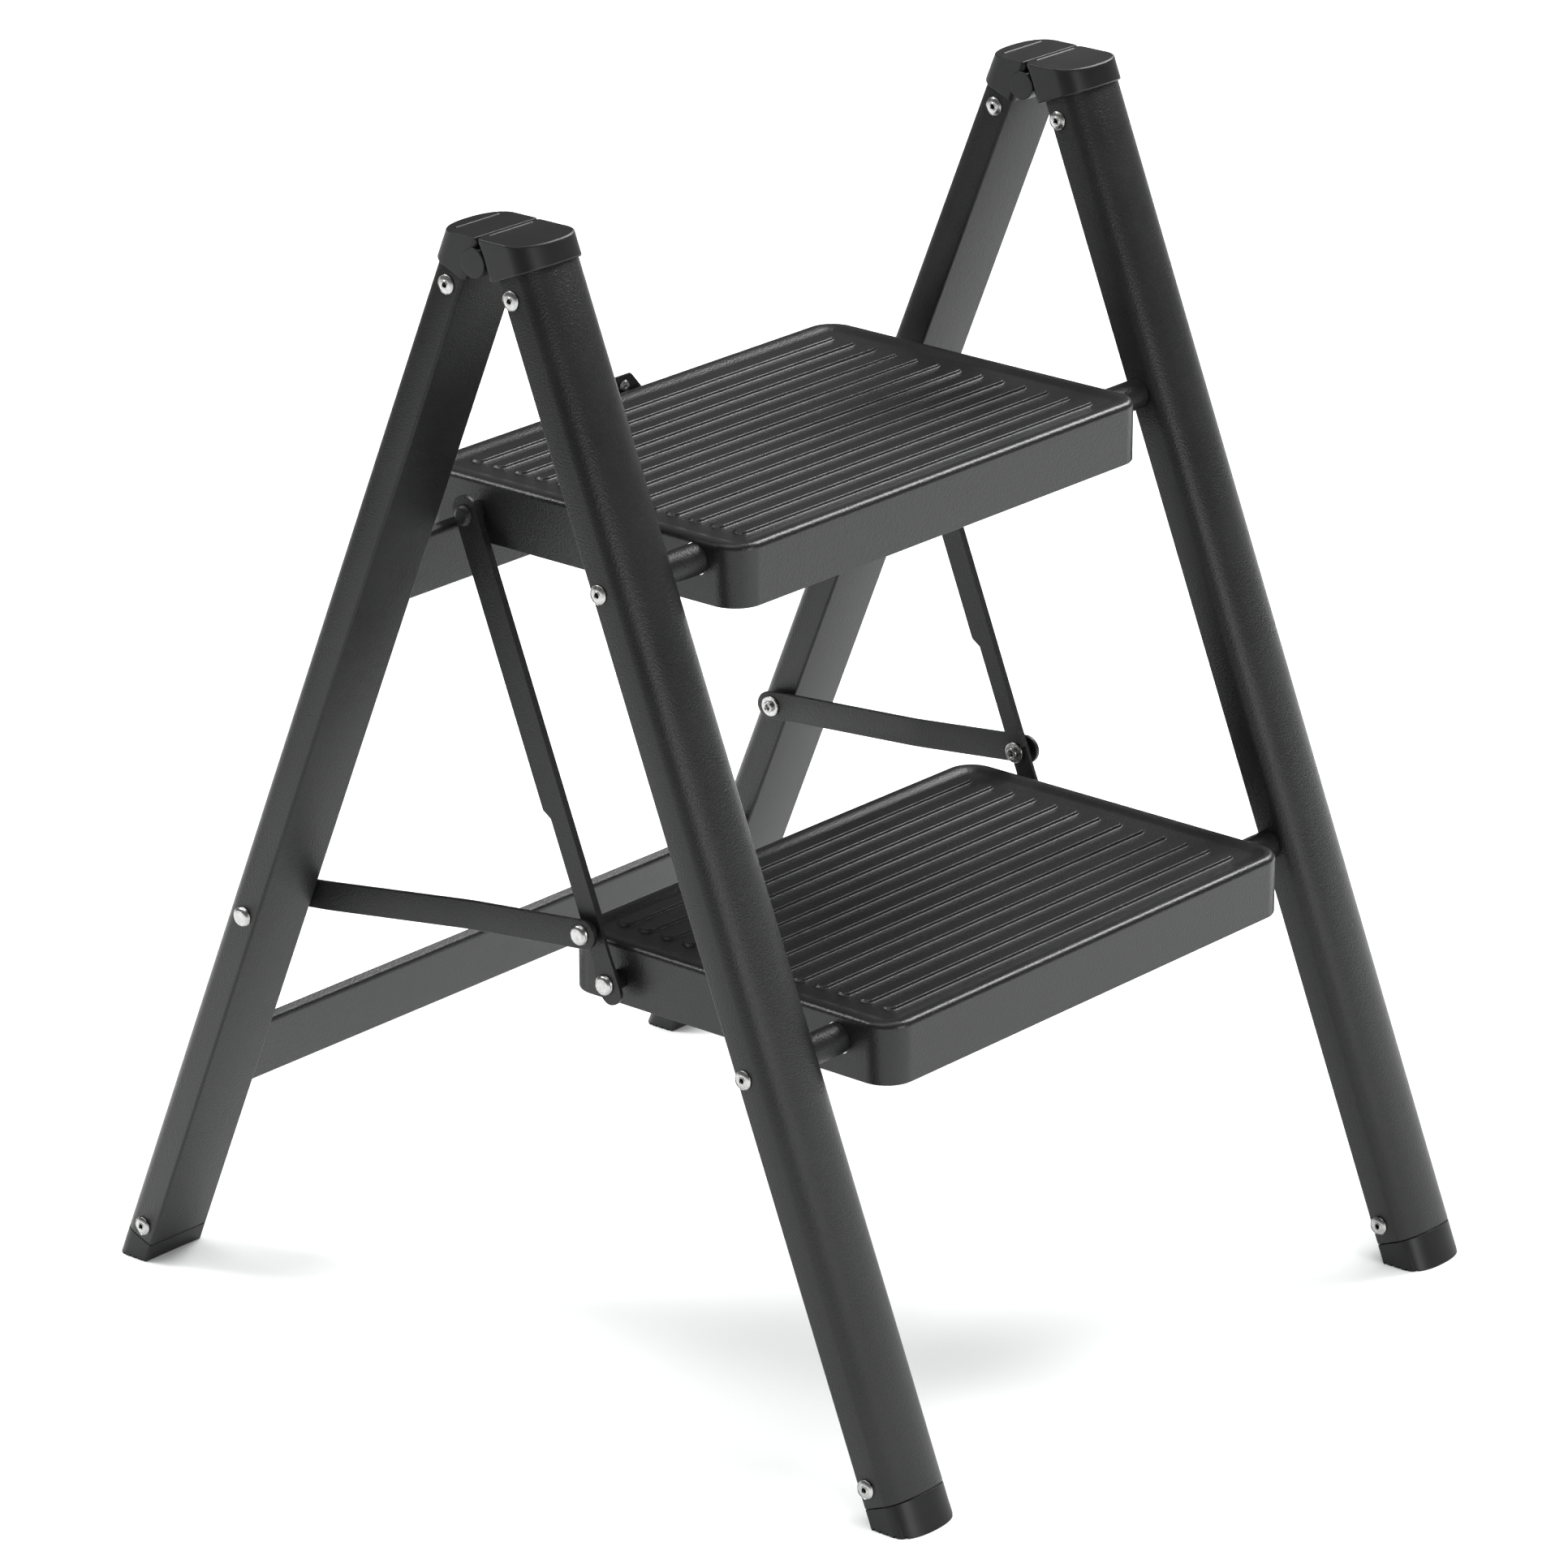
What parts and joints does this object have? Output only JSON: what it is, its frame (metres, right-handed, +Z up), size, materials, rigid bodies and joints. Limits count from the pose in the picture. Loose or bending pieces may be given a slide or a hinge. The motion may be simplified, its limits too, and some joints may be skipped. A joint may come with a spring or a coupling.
{
  "type": "folding step stool",
  "caption": "Folding A-frame step stool with ribbed pressed trays on link arms, D-section tube legs, hinged plastic end caps, grooved feet and a sprung lock.",
  "frame": {"origin": "bottom centre of the opened stool, on the floor", "axes": "+Z up, -Y the side that is climbed from, +X across the stool to the right of someone facing +Y"},
  "size_m": [0.4674, 0.5454, 0.6081],
  "materials": {
    "powder_coat": "satin dark grey powder coat with a fine pebble",
    "step_coat": "satin dark grey powder coat",
    "molded_plastic": "matte black moulded",
    "bright_metal": "bright rivet metal",
    "spring_steel": "bare spring wire"
  },
  "bodies": {
    "front_frame": {"leg_front_left": "powder_coat", "leg_front_right": "powder_coat", "cap_front_left": "molded_plastic", "cap_front_right": "molded_plastic", "foot_front_left": "molded_plastic", "foot_front_right": "molded_plastic", "cap_rivet_front_left": "bright_metal", "cap_rivet_front_right": "bright_metal", "foot_rivet_front_left": "bright_metal", "foot_rivet_front_right": "bright_metal", "tube_rivet_upper_left": "bright_metal", "tube_rivet_upper_right": "bright_metal", "tube_rivet_lower_left": "bright_metal", "tube_rivet_lower_right": "bright_metal", "step_tube_upper": "powder_coat", "step_tube_lower": "powder_coat"},
    "rear_frame": {"leg_rear_left": "powder_coat", "leg_rear_right": "powder_coat", "cap_rear_left": "molded_plastic", "cap_rear_right": "molded_plastic", "foot_rear_left": "molded_plastic", "foot_rear_right": "molded_plastic", "cap_rivet_rear_left": "bright_metal", "cap_rivet_rear_right": "bright_metal", "foot_rivet_rear_left": "bright_metal", "foot_rivet_rear_right": "bright_metal", "hinge_pin_left": "bright_metal", "hinge_pin_right": "bright_metal", "pivot_rivet_rear_left": "bright_metal", "pivot_rivet_rear_right": "bright_metal", "cross_bar_upper": "powder_coat", "cross_bar_lower": "powder_coat"},
    "upper_step": {"tray_upper": "step_coat", "link_rivet_upper_left": "powder_coat", "link_rivet_upper_right": "powder_coat", "lock_bracket": "powder_coat", "bracket_rivet_left": "bright_metal", "bracket_rivet_right": "bright_metal", "lock_pin": "bright_metal"},
    "lower_step": {"tray_lower": "step_coat", "link_rivet_lower_left": "bright_metal", "link_rivet_lower_right": "bright_metal"},
    "long_link_left": {"link_long_left": "powder_coat", "pivot_tail_left": "bright_metal"},
    "long_link_right": {"link_long_right": "powder_coat", "pivot_tail_right": "bright_metal"},
    "short_link_left": {"link_short_left": "powder_coat", "pivot_rivet_left": "bright_metal"},
    "short_link_right": {"link_short_right": "powder_coat", "pivot_rivet_right": "bright_metal"},
    "lock": {"lock_lever": "powder_coat", "lock_rivet": "bright_metal", "lock_spring": "spring_steel"}
  },
  "joints": [
    {"name": "fold", "type": "hinge", "parent": "front_frame", "child": "rear_frame", "pos_m": [0, 0.0021, 0.5948], "axis": [-1, 0, 0], "range_deg": [0, 32]},
    {"name": "upper_step_turn", "type": "hinge", "parent": "front_frame", "child": "upper_step", "pos_m": [0, -0.07578, 0.4434], "axis": [1, 0, 0], "range_deg": [0, 62.5]},
    {"name": "lower_step_turn", "type": "hinge", "parent": "front_frame", "child": "lower_step", "pos_m": [0, -0.16711, 0.21542], "axis": [1, 0, 0], "range_deg": [0, 62.5]},
    {"name": "long_link_left_turn", "type": "hinge", "parent": "upper_step", "child": "long_link_left", "pos_m": [-0.17, 0.06742, 0.4374], "axis": [-1, 0, 0], "range_deg": [0, 62.5]},
    {"name": "long_link_right_turn", "type": "hinge", "parent": "upper_step", "child": "long_link_right", "pos_m": [0.17, 0.06742, 0.4374], "axis": [-1, 0, 0], "range_deg": [0, 62.5]},
    {"name": "short_link_left_turn", "type": "hinge", "parent": "rear_frame", "child": "short_link_left", "pos_m": [-0.185, 0.16954, 0.21511], "axis": [-1, 0, 0], "range_deg": [0, 42.83]},
    {"name": "short_link_right_turn", "type": "hinge", "parent": "rear_frame", "child": "short_link_right", "pos_m": [0.185, 0.16954, 0.21511], "axis": [-1, 0, 0], "range_deg": [0, 42.83]},
    {"name": "lock_release", "type": "hinge", "parent": "upper_step", "child": "lock", "pos_m": [0, 0.11712, 0.44], "axis": [1, 0, 0], "range_deg": [0, 6], "stiffness_Nm_per_rad": 0.15, "springref_deg": -11.46}
  ],
  "couplings": [
    {"joint": "upper_step_turn", "follows": "fold", "ratio": 1.9531},
    {"joint": "lower_step_turn", "follows": "fold", "ratio": 1.9531},
    {"joint": "long_link_left_turn", "follows": "fold", "ratio": 1.9531},
    {"joint": "long_link_right_turn", "follows": "fold", "ratio": 1.9531},
    {"joint": "short_link_left_turn", "follows": "fold", "ratio": 1.3384},
    {"joint": "short_link_right_turn", "follows": "fold", "ratio": 1.3384}
  ]
}
